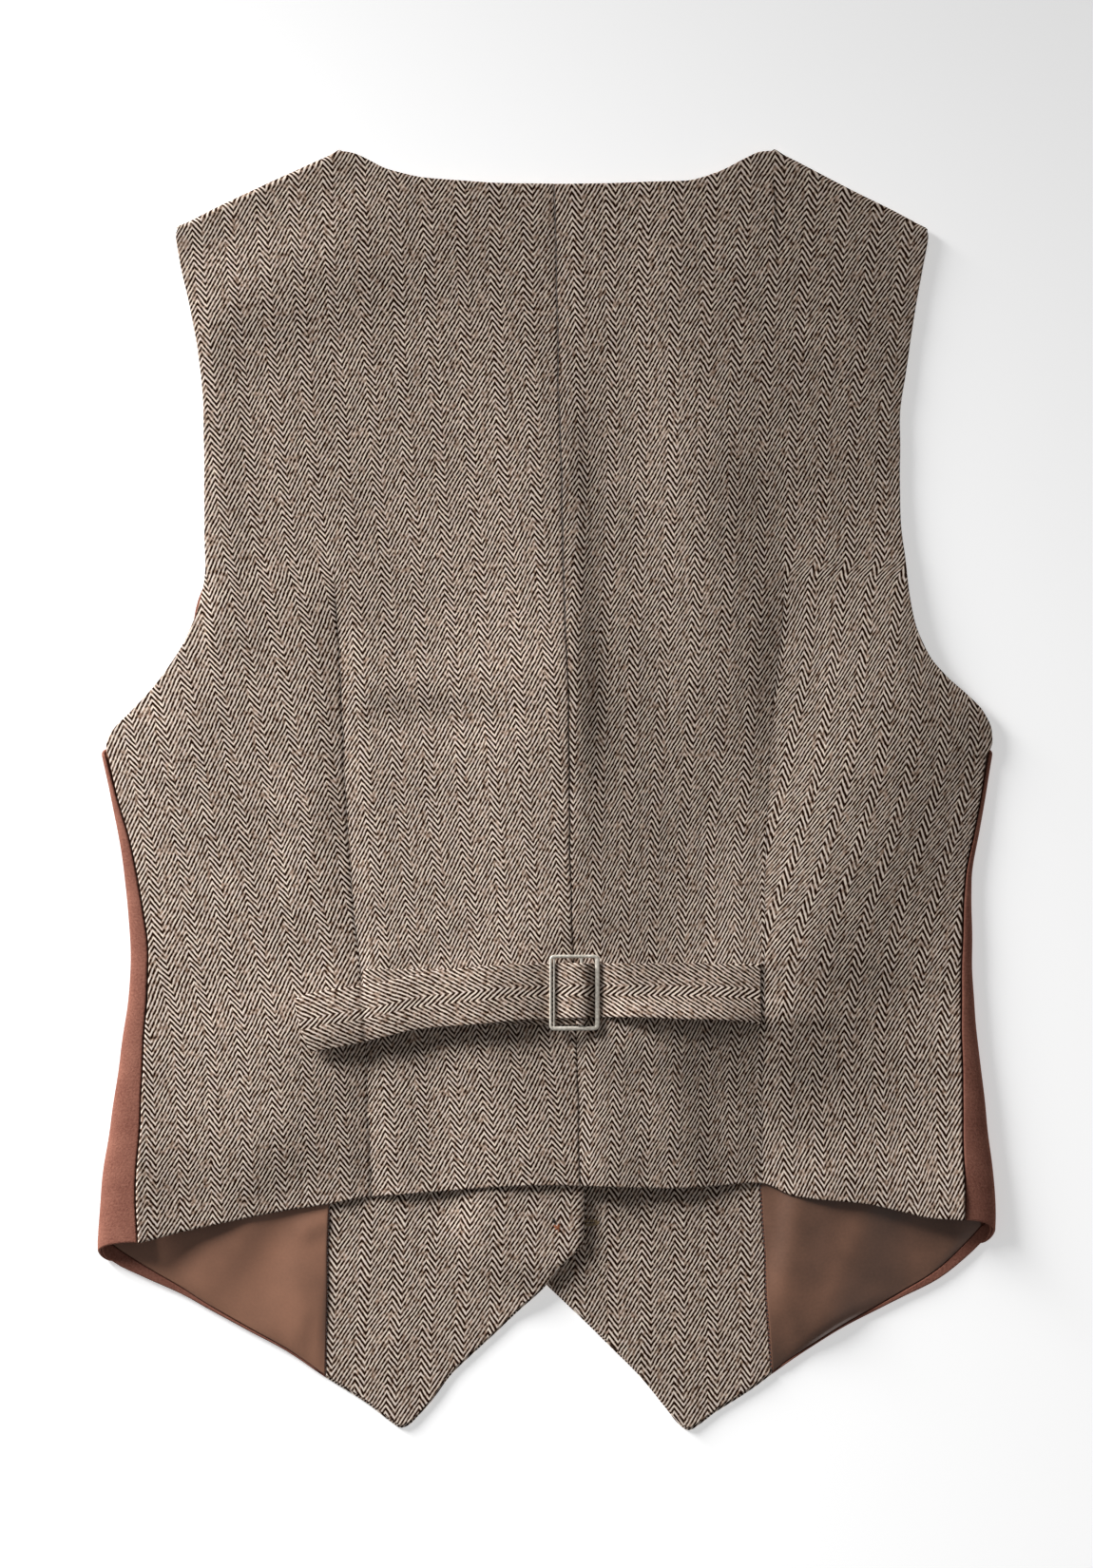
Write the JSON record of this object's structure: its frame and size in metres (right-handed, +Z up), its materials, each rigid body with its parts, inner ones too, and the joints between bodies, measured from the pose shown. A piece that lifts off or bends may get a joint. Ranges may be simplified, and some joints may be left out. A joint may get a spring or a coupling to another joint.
{
  "type": "suit waistcoat",
  "caption": "Herringbone tweed suit waistcoat with plain wool side panels, lying flat and buttoned, back up, with a buckled back strap and a pointed front hem.",
  "frame": {"origin": "centre of the garment's footprint on the surface it lies on", "axes": "+Z up out of the surface, +Y from the hem to the neck, +X to the right as the back is seen from above"},
  "size_m": [0.4432, 0.6346, 0.023],
  "materials": {
    "herringbone_tweed": "woven herringbone wool, dark brown and cream",
    "plain_wool": "brushed wool, rust brown",
    "satin_lining": "satin, brown",
    "pewter": "worn pewter",
    "brown_horn": "polished brown"
  },
  "bodies": {
    "root": {"back_left": "herringbone_tweed", "front_left": "herringbone_tweed", "facing_left": "herringbone_tweed", "side_front_left": "plain_wool", "hem_facing_left": "plain_wool", "lining_left": "satin_lining", "back_right": "herringbone_tweed", "front_right": "herringbone_tweed", "facing_right": "herringbone_tweed", "side_front_right": "plain_wool", "hem_facing_right": "plain_wool", "lining_right": "satin_lining", "strap_long": "herringbone_tweed", "strap_short": "herringbone_tweed", "buckle": "pewter", "button_1": "brown_horn", "button_2": "brown_horn", "button_3": "brown_horn", "button_4": "brown_horn", "button_5": "brown_horn"}
  },
  "joints": []
}
